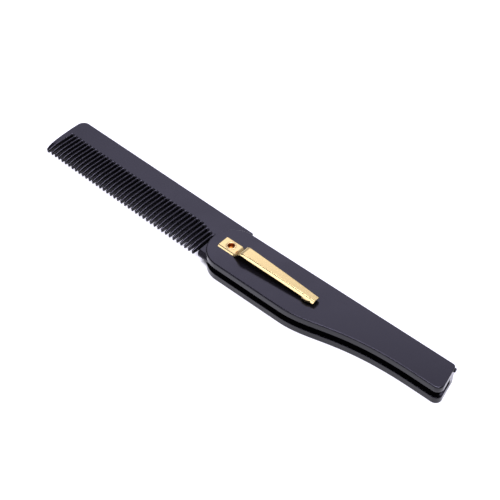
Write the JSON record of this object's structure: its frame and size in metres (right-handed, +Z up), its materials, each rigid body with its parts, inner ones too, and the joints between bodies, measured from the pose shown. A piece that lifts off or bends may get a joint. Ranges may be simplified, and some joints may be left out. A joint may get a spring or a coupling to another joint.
{
  "type": "folding comb",
  "caption": "Folding pocket comb, opened out: a black toothed blade riveted in a slotted black handle with a gold spring pocket clip.",
  "frame": {"origin": "the middle of the open comb's footprint, on the surface that it lies on", "axes": "+X runs from the blade to the handle's free end, +Y points to the backs of blade and handle, away from the teeth, +Z is up, out of the face with the clip"},
  "size_m": [0.17, 0.022, 0.0108],
  "materials": {
    "handle_plastic": "moulded black, softly glossy",
    "blade_plastic": "moulded black, softly glossy",
    "gilt_clip": "gold-plated spring sheet, bright satin",
    "rivet_metal": "gold-plated hollow rivet, dull inside"
  },
  "bodies": {
    "handle_body": {"handle": "handle_plastic", "pocket_clip": "gilt_clip", "pivot_rivet": "rivet_metal"},
    "blade_body": {"comb_blade": "blade_plastic"}
  },
  "joints": [
    {"name": "fold", "type": "hinge", "parent": "handle_body", "child": "blade_body", "pos_m": [0.00044, -0.00178, 0.0038], "axis": [0, 0, 1], "range_deg": [0, 179]}
  ]
}
